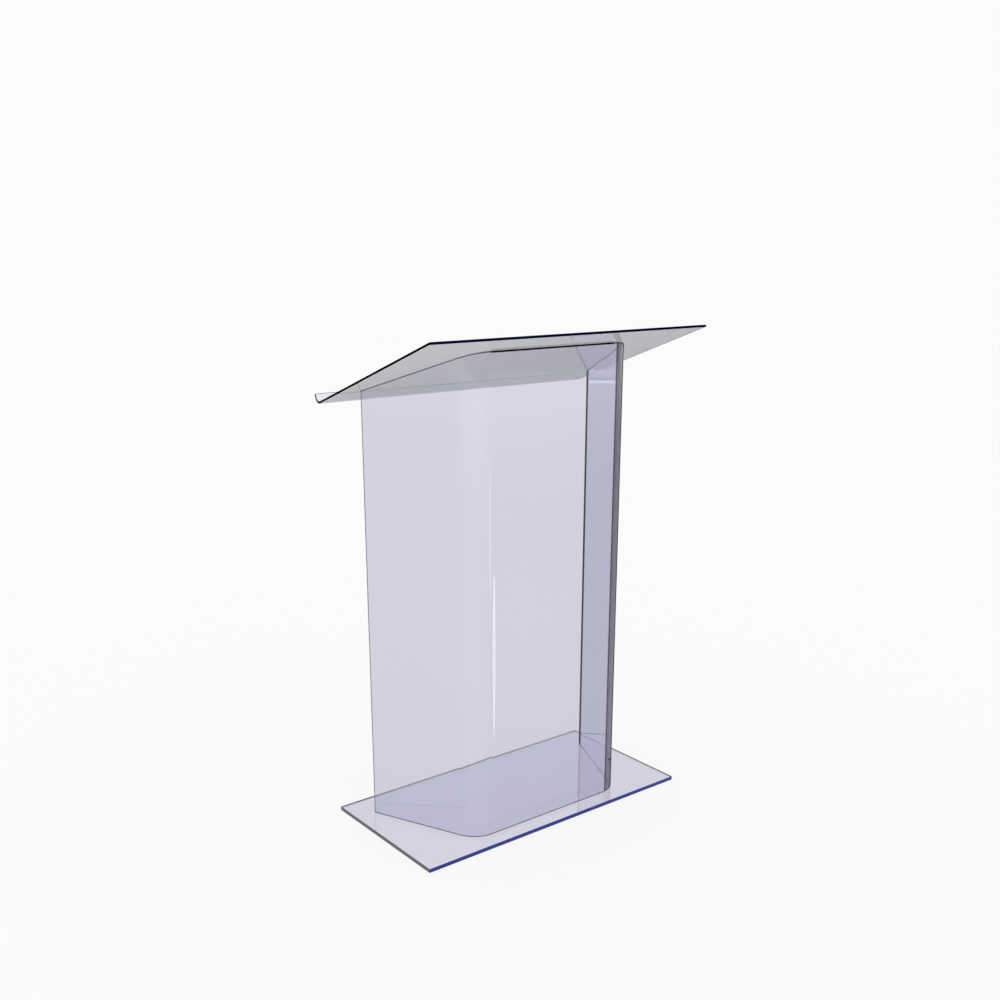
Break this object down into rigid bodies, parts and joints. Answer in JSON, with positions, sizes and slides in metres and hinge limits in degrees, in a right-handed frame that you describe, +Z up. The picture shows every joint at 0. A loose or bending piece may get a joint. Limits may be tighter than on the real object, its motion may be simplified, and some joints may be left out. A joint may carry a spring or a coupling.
{
  "type": "presentation lectern",
  "caption": "Clear acrylic standing lectern with a flat base plate, a bent sheet column open to the speaker, and a sloping reading shelf with an upturned lip.",
  "frame": {"origin": "middle of the base plate's underside, on the floor", "axes": "+Z up, +Y towards the speaker, -Y towards the audience, +X to the right as the audience sees it"},
  "size_m": [0.805, 0.4765, 1.2108],
  "materials": {
    "base_acrylic": "polished",
    "column_acrylic": "polished",
    "shelf_acrylic": "polished",
    "bond": "gloss"
  },
  "bodies": {
    "root": {"base_plate": "base_acrylic", "foot_bond": "bond", "column_panel": "column_acrylic", "shelf_bond": "bond", "reading_shelf": "shelf_acrylic"}
  },
  "joints": []
}
